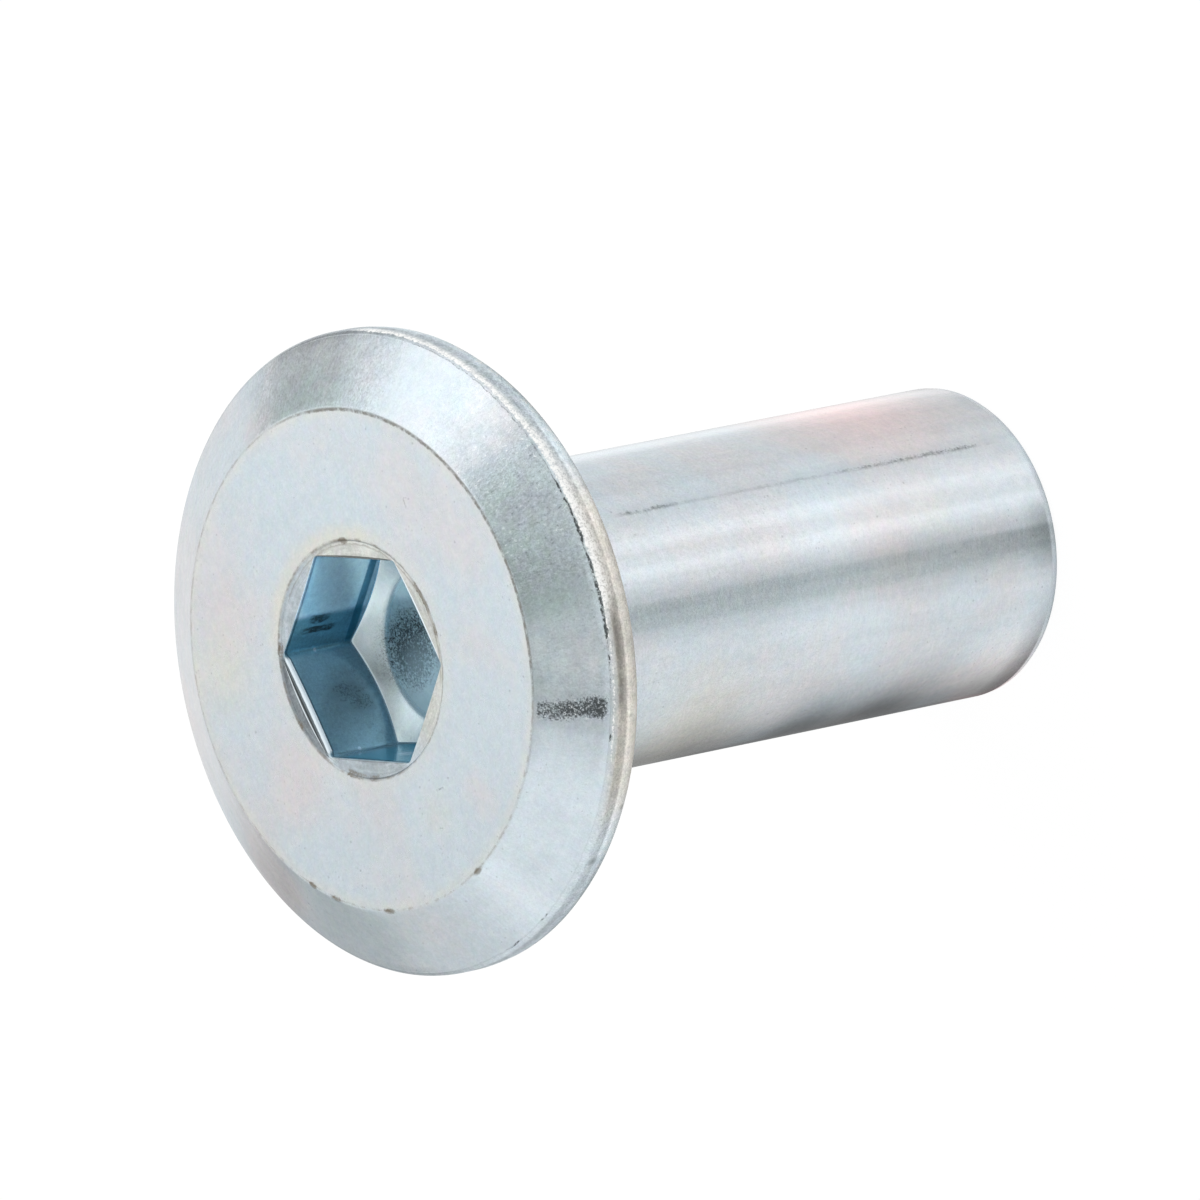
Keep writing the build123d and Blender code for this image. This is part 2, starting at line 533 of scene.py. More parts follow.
# Brown spots along the creases of the face's edge and of the mouth
EDGE_SPOTS = face_spots(
    (186, 6.29, 0.35, 1.0), (189, 6.2, 0.2, 0.5), (153, 6.27, 0.45, 0.9), (149, 6.2, 0.2, 0.6),
    (135, 6.24, 0.5, 0.8), (127, 6.25, 0.25, 1.2), (107, 6.25, 0.3, 0.5), (196, 6.22, 0.3, 0.4),
    (213, 6.2, 0.3, 0.4))
MOUTH_SPOTS = face_spots(
    (58, 2.92, 0.42, 1.1), (96, 2.97, 0.35, 0.8), (106, 2.94, 0.4, 0.4), (137, 2.90, 0.38, 1.1),
    (144, 2.88, 0.35, 0.8), (153, 2.88, 0.42, 1.1), (162, 2.93, 0.25, 0.6), (172, 2.98, 0.3, 0.5),
    (257, 2.87, 0.45, 1.1), (270, 2.90, 0.55, 1.1), (280, 2.90, 0.45, 1.0), (312, 3.00, 0.35, 0.8),
    (336, 2.98, 0.3, 1.3), (325, 3.05, 0.35, 0.8), (344, 3.06, 0.35, 0.6))
# Breaks in the corner between bevel and rim, and dark spots on the rim
RIM_BREAKS = (
    (269.5, 7.96, 19.2, 0.40, 0.8), (265.0, 7.96, 19.2, 0.50, 1.3), (258.5, 7.96, 19.2, 0.45, 0.9),
    (253.8, 7.96, 19.2, 0.45, 1.4), (250.2, 7.97, 19.2, 0.40, 1.2), (246.8, 7.99, 19.2, 0.36, 1.5),
    (241.5, 8.0, 19.2, 0.18, 0.5), (227.5, 8.0, 19.2, 0.22, 0.5), (273.5, 7.96, 19.2, 0.30, 0.5),
    (188.0, 8.0, 19.2, 0.5, 0.35), (177.5, 8.0, 19.2, 0.5, 0.45))
RIM_SPOTS = (
    (202.5, 8.05, 18.85, 0.30, 0.7), (213.5, 8.05, 18.45, 0.20, 0.8), (231, 8.05, 18.62, 0.10, 0.6),
    (255, 8.05, 18.70, 0.28, 0.3), (261, 8.05, 18.66, 0.28, 0.3))
# Painted shadows and painted light in the socket, as dark and light patches; the shadows on its walls
# are drawn out along its depth
WALL_SHADOWS = (
    (8, 2.6, 19.1, 0.14, 1.2), (89, 2.50, 18.60, 0.55, 0.60), (96, 2.52, 18.40, 0.40, 0.50),
    (84, 2.52, 18.85, 0.40, 0.35), (127, 2.72, 18.9, 0.5, 0.6))
WALL_LIGHTS = (
    (154, 2.51, 19.0, 0.40, 1.8), (118.7, 2.85, 19.14, 0.07, 3.0), (60.7, 2.86, 19.13, 0.07, 2.0),
    (25, 2.51, 19.95, 0.12, 1.5))
FLOOR_SHADOWS = (
    (68, 1.15, 17.47, 1.55, 1.15), (88, 1.30, 17.47, 0.90, 0.4), (20, 0.6, 17.47, 0.8, 0.3))
FLOOR_LIGHTS = (
    (26, 1.75, 17.47, 0.9, 0.15), (112, 1.2, 17.47, 1.6, 0.70), (40, 2.45, 17.68, 0.9, 0.40),
    (58, 2.50, 17.70, 0.5, 0.20), (80, 2.35, 17.62, 0.5, -0.12))

# Fine scratches on the face: azimuth and radius of both ends, half width and strength
SCRATCHES = (
    (188, 3.97, 191, 4.05, 0.020, 0.9), (301, 4.42, 303, 4.55, 0.020, 0.8),
    (303, 4.60, 301, 4.66, 0.018, 0.7), (181, 4.74, 182, 4.80, 0.018, 0.6))

# Sectors: azimuth, half width and soft margin in degrees, and strength
SLEEVE_PINKS = ((284, 8, 8, -0.2), (264, 10, 8, 0.2))
HAMMERED = ((267, 11, 8, 1.0), (342, 8, 8, 0.8))
# Painted shade on the dished mouth, darkest beside the worn lip
DISH_PAINTED_SHADE = ((90, 27, 3, -0.48), (150, 24, 6, -0.20), (270, 26, 5, -0.06), (25, 30, 6, -0.08))
INNER_LINE_ARCS = ((325, 30, 8, 1.0), (262, 25, 10, 1.0), (15, 14, 6, 1.0))
# Sectors where the line along the brink is painted shade
BRINK_DARKS = ((330, 27, 3, 0.9), (150, 24, 6, 0.35))
# Painted light and shade of the socket's walls, each lighter or darker by the way it faces
WALL_LIGHT_AND_SHADE = ((88, 28, 4, -0.10), (20, 16, 6, 0.25), (50, 9, 4, -0.28), (106, 8, 6, -0.12))
WALL_TEALS = ((155, 22, 12, 1.0), (50, 9, 5, 0.55))
# Broad lighter and darker sectors of the bevel, painted reflections of the surroundings; the last two
# are the soft darkening round the scuff
BEVEL_REFLECTIONS_AND_SCUFF = (
    (203, 14, 8, 0.07), (155, 32, 8, 0.11), (45, 50, 12, -0.08), (288, 5, 4, -0.08),
    (231.4, 1, 4, -0.16), (236, 2, 4, -0.04))
BEVEL_GRAIN = ((271, 8, 8, 0.85), (248, 10, 6, 0.45), (291, 6, 10, 0.35), (340, 16, 8, 0.85))
BEVEL_PITS = ((272, 8, 6, 0.8), (260, 12, 8, 0.3))
# Sectors of painted glints on the bevel
BEVEL_GLINTS = ((276, 8, 8, 0.7), (292, 8, 6, 0.5))
SLEEVE_LINES = (
    (260, 0.8, 2, 0.05), (272, 0.8, 2, 0.05), (238, 0.8, 2, 0.04), (265.8, 1.5, 2, -0.05),
    (247.5, 0.8, 2, -0.08), (292, 4, 4, -0.05))
RIM_TONES = ((195, 24, 25, 0.34), (282, 40, 20, 0.16))
# Sectors of the rim whose strength changes with height: azimuth, half width and soft margin; then
# two heights, and the strength below and above them
RIM_EDGE_TONES = (
    ((201, 8, 8), (18.8, 18.95, 0.0, 0.12)), ((222, 44, 12), (18.5, 18.85, 0.12, 0.0)),
    ((305, 20, 12), (18.5, 18.8, 0.16, 0.0)))


class Skin:
    """Where a shading point lies on the nut, in millimetres, masks for the regions of its profile,
    and the noises that its marks share, from slow clouds to fine grit."""

    def __init__(self, tree):
        self.tree = tree
        self.place = tree.stretch(tree.node("ShaderNodeTexCoord", output="Object"), (1 / MM,) * 3)
        self.flat = tree.stretch(self.place, (1, 1, 0))
        self.unit = tree.vector("NORMALIZE", self.flat)
        self.radius = tree.vector("LENGTH", self.flat, output="Value")
        self.height = tree.node("ShaderNodeSeparateXYZ", {}, {0: self.place}, "Z")
        self.station = tree.node("ShaderNodeAttribute", {"attribute_name": "station"}, output="Fac")
        self.run = self.radius - self.height
        self.on_head = self.region(BRINK, RIM_FOOT)
        self.on_bevel = self.region(FACE_EDGE, RIM_TOP)
        self.on_rim = self.region(RIM_TOP, RIM_FOOT + 0.03)
        self.on_sleeve = self.region(ROOT - 0.02, BORE_MOUTH)
        self.drawn = self.on_sleeve * self.sector(244.5, 3.5, 3)
        at_foot = tree.band(self.station, RIM_FOOT - 0.25, RIM_FOOT + 0.012, 0.10)
        self.rim_foot = at_foot * self.sector(245, 34, 14)
        self.clouds = tree.noise(self.place, 0.35, 3.0)
        self.patches = tree.noise(self.place, 1.2, 3.0, 0.6)
        self.mottle = tree.noise(self.place, 4.0, 3.0, 0.6)
        self.ragged = tree.noise(self.place, 10.0, 3.0, 0.65)
        self.grit = tree.noise(self.place, 22.0, 2.0, 0.6)
        self.streaks = tree.noise(self.along(4.0, 0.05), 2.2, 3.0, 0.65)
        self.hoops = tree.noise(self.across(0.10), 5.0, 3.0, 0.6)
        self.hairs = tree.noise(self.across(0.22), 12.0, 3.0, 0.65, 0.5)
        self.grains = tree.noise(self.along(7.0, 0.45), 13.0, 3.0, 0.75, 0.5)

    def region(self, low, high, soft=0.02):
        """One between two stations."""
        return self.tree.band(self.station, low, high, soft)

    def along(self, around_mm, stretch):
        """Coordinates for streaks that follow the profile: quick around the axis, slow along the
        run."""
        run = self.tree.node("ShaderNodeCombineXYZ", {}, {"Z": self.run * stretch})
        return self.tree.vector("ADD", self.tree.stretch(self.unit, (around_mm,) * 3), run)

    def across(self, stretch):
        """Coordinates for streaks that go round the axis: slow around, quick along the run."""
        run = self.tree.node("ShaderNodeCombineXYZ", {}, {"Z": self.run})
        return self.tree.vector("ADD", self.tree.stretch(self.flat, (stretch,) * 3), run)

    def sector(self, degrees, half, soft, strength=1.0):
        """Its strength within so many degrees of an azimuth, falling to nothing over a soft
        margin."""
        facing = self.tree.dot(self.unit, direction(math.radians(degrees), 0))
        inner, outer = math.cos(math.radians(half)), math.cos(math.radians(half + soft))
        return self.tree.ease(facing, outer, inner, 0.0, strength)

    def sectors(self, table):
        """Sum of the sectors in a table."""
        return total(self.sector(*row) for row in table)

    def strokes(self, table, height, fray):
        """Fine lines between two points of a level face: each is the distance to the nearest point
        of the line joining them, which is the place's share along the line, held between nought and
        one."""
        lines = []
        for turn_a, radius_a, turn_b, radius_b, half, strength in table:
            first = direction(math.radians(turn_a), 0) * radius_a + Vector((0, 0, height))
            reach = direction(math.radians(turn_b), 0) * radius_b + Vector((0, 0, height)) - first
            share = self.tree.dot(self.place, reach / reach.length_squared)
            share = share - first.dot(reach) / reach.length_squared
            share = share.at_least(0.0).at_most(1.0)
            nearest = self.tree.vector("ADD", self.tree.shade(tuple(reach), share), tuple(first))
            gap = self.tree.distance(self.place, nearest)
            lines.append(self.tree.ease(gap + fray, half * 0.4, half * 1.8, strength, 0.0))
        return total(lines)

    def spots(self, table, squeeze=1.0):
        """Soft round spots: each falls from its strength to nothing with distance from its centre.
        A squeeze under one shortens distances along the axis, which draws the spots out along
        it."""
        place = self.tree.stretch(self.place, (1, 1, squeeze))
        falls = []
        for degrees, radius, height, reach, strength in table:
            centre = direction(math.radians(degrees), 0) * radius
            centre.z = height * squeeze
            gap = self.tree.distance(place, centre)
            falls.append(self.tree.ease(gap, 0.0, reach, strength, 0.0))
        return total(falls)


# ---------------------------------------------------------------- marks of the plating

def cell_dots(skin, scale, fray, size, drift, kept):
    """Dots round the points of a cell pattern, with frayed edges. Each cell has a random number,
    and it keeps its dot only where that number and a slow drift together come high enough."""
    cells = skin.tree.node("ShaderNodeTexVoronoi", {}, {"Vector": skin.place, "Scale": scale})
    chance = skin.tree.node("ShaderNodeSeparateColor", {}, {0: cells.output("Color")})
    dots = skin.tree.ease(cells + fray, *size, 1.0, 0.0)
    return dots * skin.tree.ease(chance + drift, *kept)


def specks(skin):
    """Dark specks, larger and finer ones, scattered in drifts and crowded on one side of the
    face."""
    fray, drift = skin.ragged.swing(0.16), skin.patches.swing(1.6)
    large = cell_dots(skin, 2.6, fray, (0.03, 0.12), drift, (0.72, 0.90))
    crowd = skin.sector(186, 28, 15) * skin.tree.band(skin.radius, 5.3, 6.3, 0.4) * 0.25
    fray, drift = skin.grit.swing(0.3), skin.patches.swing(2.2) + crowd
    fine = cell_dots(skin, 7.0, fray, (0.06, 0.26), drift, (0.82, 1.05))
    return large * 0.6 + fine * 0.5


def edge_residue(skin, fray):
    """The crease round the flat face: brown residue with larger spots, and on one side a darker, wider
    line in soot colour, the painted shadow of the step where the face stands above the bevel."""
    tree, mottle, ragged = skin.tree, skin.mottle, skin.ragged
    # The side where the crease carries the painted shadow of the step
    worn = skin.sector(290, 45, 20)
    off_edge = (skin.radius + fray - FACE_CREASE + worn * 0.015).size()
    line = tree.ease(off_edge - worn * 0.012, 0.0, 0.055, 1.0, 0.0) * skin.on_head
    grime = line * (0.15 + 0.60 * tree.ease(mottle, 0.42, 0.60) + 0.25 * worn)
    # Painted shadow of the step, in soot colour
    soot = line * worn * tree.ease(ragged * 0.6 + mottle * 0.4, 0.36, 0.56) * 0.55
    spots = skin.spots(EDGE_SPOTS) * tree.band(skin.radius + fray, 6.16, 6.34, 0.09)
    spots = tree.ease(spots * (0.1 + ragged * 0.9 + skin.grit * 0.8), 0.30, 0.75)
    return grime * 0.5 + spots * 0.7, soot


def mouth_residue(skin, fray, on_dish):
    """The crease round the socket's mouth: brown residue with larger spots, and a second line
    inside it."""
    tree = skin.tree
    on_mouth = skin.region(BRINK, MOUTH + 0.3)
    line = tree.band(skin.radius + fray, *MOUTH_LINE, 0.035) * on_mouth
    inner = tree.band(skin.radius + fray * 1.5, *INNER_LINE, 0.03) * on_dish
    inner = inner * skin.sectors(INNER_LINE_ARCS)
    grime = line * (0.10 + 0.55 * tree.ease(skin.mottle, 0.42, 0.62)) + inner * 0.6
    spots = skin.spots(MOUTH_SPOTS) * tree.band(skin.radius + fray * 2, 2.84, 3.06, 0.08)
    spots = tree.ease(spots * (skin.ragged * 0.6 + skin.grit * 1.6 - 0.15), 0.42, 0.95) * on_mouth
    return grime + spots * 0.65


def socket_lip(skin, fray):
    """The worn lip of the socket's wall, painted as a lit and shaded round: a white band of painted
    highlight, a black line of painted shade and a thin white line of painted highlight, outwards;
    elsewhere one line along the brink, painted shade in two sectors and painted highlight in one.
    Returns its dark lines and its bright ones."""
    tree = skin.tree
    lip = skin.sector(90, 26, 3)
    place = skin.station + skin.mottle.swing(0.002) + skin.ragged.swing(0.002)
    dark = tree.band(place, BRINK + 0.0050, BRINK + 0.200, 0.02)
    dark = (dark + tree.band(place, BRINK + 0.0005, BRINK + 0.0012, 0.0006) * 0.7) * lip
    bright = tree.band(place, BRINK - 0.018, BRINK + 0.0035, 0.0015)
    bright = (bright + tree.band(place, BRINK + 0.270, BRINK + 0.350, 0.03) * 0.7) * lip
    line = tree.band(skin.station + fray * 0.3, BRINK - 0.008, BRINK + 0.10, 0.03)
    return dark + line * skin.sectors(BRINK_DARKS), bright + line * skin.sector(272, 24, 8, 0.8)


def bevel_scuff(skin):
    """The scuff across the bevel: dark grains and bright ones, the bright ones scratched metal painted
    as glints, crowded in its middle and sparse outwards."""
    tree = skin.tree
    grain = tree.noise(skin.along(7.0, 0.7), 19.0, 3.0, 0.8, 0.3) - 0.5
    outward = tree.ease(skin.radius, 6.4, 7.9)
    inner, outer = (skin.sector(azimuth, 0.1, 3.1) for azimuth in SCUFF_AZIMUTHS)
    zone = inner * (1 - outward) + outer * outward
    zone = zone * skin.region(FACE_EDGE + 0.02, RIM_TOP - 0.02, 0.03)
    zone = zone * tree.ease(skin.radius, 6.2, 7.2, 0.76, 1.0)
    zone = zone * tree.ease(skin.radius, 7.72, 8.0, 1.0, 0.45)
    dark = tree.ease(grain * 6.5 + zone * 2.4 - 1.15 + skin.mottle.swing(1.2), 0.0, 1.35)
    dark = dark * tree.ease(zone, 0.0, 0.8, 0.3, 1.0)
    bright = tree.ease(grain * -6.0 - 0.50, 0.0, 0.8) * tree.ease(zone, 0.1, 0.6)
    return dark, bright


def rim_corner(skin, corner_run):
    """The corner between bevel and rim, by how far the run is past it: a broken dark line, fine bright
    beadlike dots of painted glint, then a bright worn band that is partly a painted highlight, on
    the side towards the light only. Returns the dark line, and the glints with the bright band."""
    tree, ragged, grit = skin.tree, skin.ragged, skin.grit
    jag = tree.noise(skin.place, 3.2, 3.0, 0.7)
    off = skin.run - corner_run + jag.swing(0.14) + ragged.swing(0.10) + grit.swing(0.07)
    breaks = skin.spots(RIM_BREAKS) * (0.35 + jag * 1.3)
    fragment = tree.ease(ragged * 0.5 + grit * 0.5, 0.42, 0.54)
    line = (off + 0.13 - breaks * 0.03).size() - breaks * 0.030
    line = tree.ease(line, 0.0, 0.035, 1.0, 0.0) * skin.on_head
    dots = fragment * (0.16 + skin.sector(277, 36, 8, 0.44))
    broken = tree.ease(breaks + ragged.swing(1.4), 0.15, 0.60)
    dark = line * (broken * (0.35 + fragment * 0.65) + dots)
    # Painted glints along the corner
    bead_glints = tree.band(off, -0.05, -0.01, 0.02) * tree.ease(ragged * 0.55 + grit * 0.45, 0.48, 0.56)
    bead_glints = bead_glints * skin.sector(239, 13, 8) * skin.on_head
    grain = tree.ease(grit * 0.5 + ragged * 0.5, 0.42, 0.56)
    # Bright worn band, partly a painted highlight on the side towards the light
    burr_end = 0.30 + skin.sector(269, 14, 6, 0.20) + jag.swing(0.25)
    burr_and_glint = tree.ease(off, -0.06, -0.02) * (1 - tree.ease(off / burr_end, 0.0, 1.0))
    burr_and_glint = burr_and_glint * (0.45 + grain * 0.75) * skin.sector(291, 37, 8) * skin.on_head
    return dark, burr_and_glint + bead_glints


def sleeve_scratch(skin):
    """The long scratch down the sleeve, by the distance from a wandering line: a fine dark line
    inside a drag of grit, faint between its two deep stretches."""
    tree, ragged, grit = skin.tree, skin.ragged, skin.grit
    wander = tree.noise(tree.stretch(skin.place, (0, 0, 1)), 1.1, 2.0, 0.6)
    off = tree.dot(skin.flat, direction(math.radians(SCRATCH_AZIMUTH - 90), 0))
    off = (off + wander.swing(0.16) + grit.swing(0.12) + ragged.swing(0.14)).size()
    depth = tree.band(skin.height, 12.0, 13.8, 0.5) + tree.band(skin.height, 1.3, 6.0, 0.8)
    depth = depth + tree.band(skin.height, 6.0, 12.0, 0.8) * 0.45
    line = tree.ease(off, 0.0, 0.09, 1.0, 0.0) * tree.ease(wander * 0.5 + ragged * 0.5, 0.38, 0.58)
    drag = tree.ease(off, 0.0, 0.26, 0.5, 0.0)
    drag = drag * tree.ease(grit * 0.5 + skin.hairs * 0.5, 0.48, 0.62)
    return (line + drag) * skin.sector(285, 20, 5) * skin.on_sleeve * depth


# ---------------------------------------------------------------- colours of the plating

def plate_colour(skin, finish):
    """The bare plating: pink clouds, straw beside the creases of the face, rose places on the
    sleeve, and green where the bevel is hammered and along one drawn line of the sleeve."""
    tree, patches, mottle = skin.tree, skin.patches, skin.mottle
    pink = tree.ease(skin.clouds + patches.swing(0.25), 0.38, 0.68, 0.0, 0.7)
    low_sleeve = skin.on_sleeve * tree.band(skin.height, 1.0, 7.0, 3.0)
    pink = pink + skin.spots(PINK_TINTS) + low_sleeve * skin.sector(312, 16, 12, 0.5)
    pink = pink - skin.on_head * skin.sector(205, 28, 15, 0.5)
    pink = pink + skin.on_sleeve * skin.sectors(SLEEVE_PINKS)
    pink = pink - skin.on_bevel * skin.sector(267, 14, 8, 0.7)
    base = tree.blend(pink.at_least(0.0).at_most(1.0), rgba(finish.plate), rgba(finish.pink))
    halo = tree.ease(skin.radius, 3.1, 3.55, 0.35, 0.0) * (1 + skin.sector(5, 35, 30, 2.0))
    halo = halo + tree.band(skin.radius, 6.05, 6.35, 0.20) * 0.6
    straw = halo * skin.on_head * (1 - skin.on_bevel) * (0.4 + patches) + skin.spots(STRAW_TINTS)
    base = tree.blend(straw.at_most(1.0), base, rgba(finish.straw))
    rose = skin.on_sleeve * skin.spots(ROSE_TINTS)
    base = tree.blend(rose.at_most(1.0), base, rgba(finish.rose))
    sea = skin.sectors(HAMMERED) * tree.ease(patches * 0.6 + mottle * 0.4, 0.42, 0.56, 0.10, 1.10)
    sea = sea + skin.sector(142, 12, 10, 0.3) + skin.sector(244, 8, 6, 0.7) * skin.hoops
    sea = sea * skin.on_bevel * (1 - tree.ease(skin.radius, 6.9, 7.7, 0.0, 0.6))
    return tree.blend((sea + skin.drawn * 0.30).at_most(1.0), base, rgba(finish.sea))


def dish_colour(skin, finish):
    """The dished mouth: turned rings, straw on one side, and painted shade in four sectors, darkest
    beside the worn lip.
    """
    tree = skin.tree
    rings = tree.noise(skin.across(0.08), 16.0, 2.0)
    tone = 0.90 + skin.patches.swing(0.3) + skin.sectors(DISH_PAINTED_SHADE)
    tone = tone + rings.swing(0.45) + skin.ragged.swing(0.35)
    tint = tree.blend(skin.sector(280, 75, 20, 0.8), rgba(finish.plate), rgba(finish.straw))
    return tree.shade(tint, tone)


def rim_colour(skin, finish):
    """The upright edge of the head: rough and patchy, calmer on one side, lighter towards its foot,
    with dark spots and one ragged smear."""
    tree, mottle, ragged, grit = skin.tree, skin.mottle, skin.ragged, skin.grit
    calm = 1 - skin.sector(203, 20, 12, 0.55)
    tone = 0.62 + (skin.patches.swing(0.35) + mottle.swing(0.45)) * calm + skin.sectors(RIM_TONES)
    tone = tone + tree.ease(skin.height, 18.55, 18.85, 0.28, 0.0) + skin.rim_foot * 0.25
    for place, steps in RIM_EDGE_TONES:
        tone = tone + skin.sector(*place) * tree.ease(skin.height, *steps)
    spots = skin.spots(RIM_SPOTS) * (0.1 + ragged * 0.9 + grit * 0.9)
    spots = tree.ease(spots, 0.15, 1.0, 0.0, 0.5)
    zone = tree.band(skin.height, 18.82, 19.06, 0.12) * skin.sector(241, 7, 3)
    smear = tree.ease(mottle * 0.4 + ragged * 0.6 + zone * 0.20 - 0.16, 0.40, 0.58) * zone
    spots = spots + smear * (0.20 + grit * 0.45)
    tone = (tone + grit.swing(0.85) + ragged.swing(0.60) * calm) * (1 - spots)
    tint = tree.blend(skin.sector(243, 22, 16), rgba(finish.plate), rgba(finish.rim))
    return tree.shade(tint, tone)


def wall_colour(skin, finish, fray):
    """The socket's walls: a blue film, greener in places, with painted light and shade: a paler panel,
    a light strip low down and a dark strip as painted reflections, painted highlights, walls lighter
    or darker by the way they face, painted shadow streaks at one corner, painted shadows drawn out
    along the depth and a painted shadow line under the brink."""
    tree, ragged, grit = skin.tree, skin.ragged, skin.grit
    film = tree.noise(skin.place, 1.3, 3.0, 0.55)
    # Painted reflections and highlights: a light strip low on the wall, a dark strip above it, a paler
    # panel at azimuth 20 and the spots of WALL_LIGHTS
    low_reflection_strip = 1 - tree.ease(skin.height, 17.80, 17.88)
    dark_reflection_strip = tree.band(skin.height, 17.87, 18.12, 0.03) * skin.sector(32, 26, 3)
    pale = skin.sector(20, 17, 5) * (0.95 + film * 0.3) * (1 - dark_reflection_strip)
    pale = pale + skin.spots(WALL_LIGHTS) + low_reflection_strip * skin.sector(20, 30, 20, 0.5)
    smear = tree.noise(tree.stretch(skin.place, (1, 1, 0.5)), 6.0, 3.0, 0.7)
    # Painted shadow streaks at one corner
    shadow_streaks = skin.sector(42.2, 1.2, 2.8) * tree.band(skin.height, 18.95, 19.60, 0.30)
    shadow_streaks = shadow_streaks + skin.sector(48.8, 0.6, 2.2) * tree.band(skin.height, 18.65, 19.75, 0.30)
    shadow_streaks = tree.ease(smear + shadow_streaks * 0.30 - 0.26, 0.24, 0.62) * tree.ease(shadow_streaks, 0.0, 0.8)
    shadows = skin.spots(WALL_SHADOWS, 0.5)
    shadow = ragged * 0.45 + grit * 0.40 + skin.mottle * 0.15 + shadows * 0.16 - 0.12
    shadow = tree.ease(shadow, 0.42, 0.58) * tree.ease(shadows, 0.0, 0.5)
    shadow = shadow * 0.55 + shadow_streaks * 0.85 + dark_reflection_strip * 0.45
    tone = 0.86 + 0.25 * film + smear.swing(0.20) + skin.sectors(WALL_LIGHT_AND_SHADE)
    tone = tone + ragged.swing(0.35) + grit.swing(0.35)
    # Painted shadow along the top of the wall, under the brink
    brink = tree.band(skin.station + fray * 0.2, BRINK - 0.040, BRINK - 0.014, 0.008)
    tone = tone * (1 - shadow) * (1 - brink * 0.55)
    teal = skin.sectors(WALL_TEALS) + dark_reflection_strip * 0.5
    tint = tree.blend(teal.at_most(1.0), rgba(finish.socket), rgba(finish.socket_teal))
    tint = tree.blend(pale.at_most(1.0), tint, rgba(finish.socket_painted_light))
    return tree.shade(tint, tone)


def floor_colour(skin, finish, on_middle):
    """The socket's floor: pale patches of painted light, its ring painted lighter on one side, and
    painted shadow as a dark smudge of fine grit.
    """
    tree, ragged, grit = skin.tree, skin.ragged, skin.grit
    tone = 0.98 + skin.patches.swing(0.3) + skin.spots(FLOOR_LIGHTS)
    # Painted light: the sloping ring lighter towards azimuth 330
    tone = tone + (1 - on_middle) * (skin.sector(330, 60, 50, 0.20) - 0.05)
    shadows = skin.spots(FLOOR_SHADOWS)
    smudge = grit * 0.60 + ragged * 0.30 + skin.mottle * 0.10 + shadows * 0.18 - 0.13
    smudge = tree.ease(smudge, 0.36, 0.60) * tree.ease(shadows, 0.0, 0.6, 0.0, 0.85)
    tone = tone - (smudge + ragged.swing(0.35) + grit.swing(0.35))
    return tree.shade(tuple(finish.socket_floor), tone)


def plate_tone(skin):
    """How much lighter or darker than its colour the plating is: painted light that falls off across
    the nut from azimuth 320, grain, hammered marks on the bevel with broad sectors of painted
    reflection and a soft darkening round the scuff, and drawn lines, hairs and streaks along the
    sleeve, with painted reflections and painted shade along one side of it."""
    tree, patches, ragged, grit = skin.tree, skin.patches, skin.ragged, skin.grit
    # Painted light: the whole nut is lighter towards azimuth 320 and darker on the far side
    painted_side_light = tree.dot(skin.flat, direction(math.radians(320), 0) * 0.012)
    tone = painted_side_light + patches.swing(0.13) + skin.mottle.swing(0.10)
    tone = tone + ragged.swing(0.20) + grit.swing(0.14)
    coarse = 0.16 + skin.sectors(BEVEL_GRAIN)
    hoop_depth = 0.10 + skin.sector(248, 12, 8, 0.16)
    # The bevel's broad sectors are painted reflections
    bevel = skin.sectors(BEVEL_REFLECTIONS_AND_SCUFF) + patches.swing(0.55) * coarse + grit.swing(0.35) * coarse
    bevel = bevel + (skin.grains - 0.5) * coarse + (skin.hoops - 0.5) * hoop_depth
    lines = skin.sectors(SLEEVE_LINES)
    lines = lines - skin.sector(306, 4, 6, 0.07) * tree.band(skin.height, 1, 6, 2)
    lines = lines - skin.sector(246, 2.5, 2.5) * tree.ease(skin.height, 1.0, 4.5, 0.16, 0.0)
    upper = tree.ease(skin.height, 7.0, 9.0)
    hairs = (skin.hairs - 0.5) * (0.14 + skin.drawn * 0.14) + skin.streaks.swing(0.18)
    fine = (grit - 0.5) * (0.06 + upper * 0.14 + skin.drawn * 0.25) + ragged.swing(0.08) * upper
    # Painted shade and painted reflections along the sleeve's side at azimuth 160 to 190: a darker
    # band, and lighter and darker spots
    under = skin.sector(163, 4, 5) * tree.band(skin.height, 1.0, 11.0, 1.5) * 0.34
    painted_reflections = (skin.spots(SLEEVE_PAINTED_REFLECTIONS) - under).at_least(-0.5)
    return tone + skin.on_bevel * bevel + skin.on_sleeve * (lines + hairs + fine + painted_reflections)


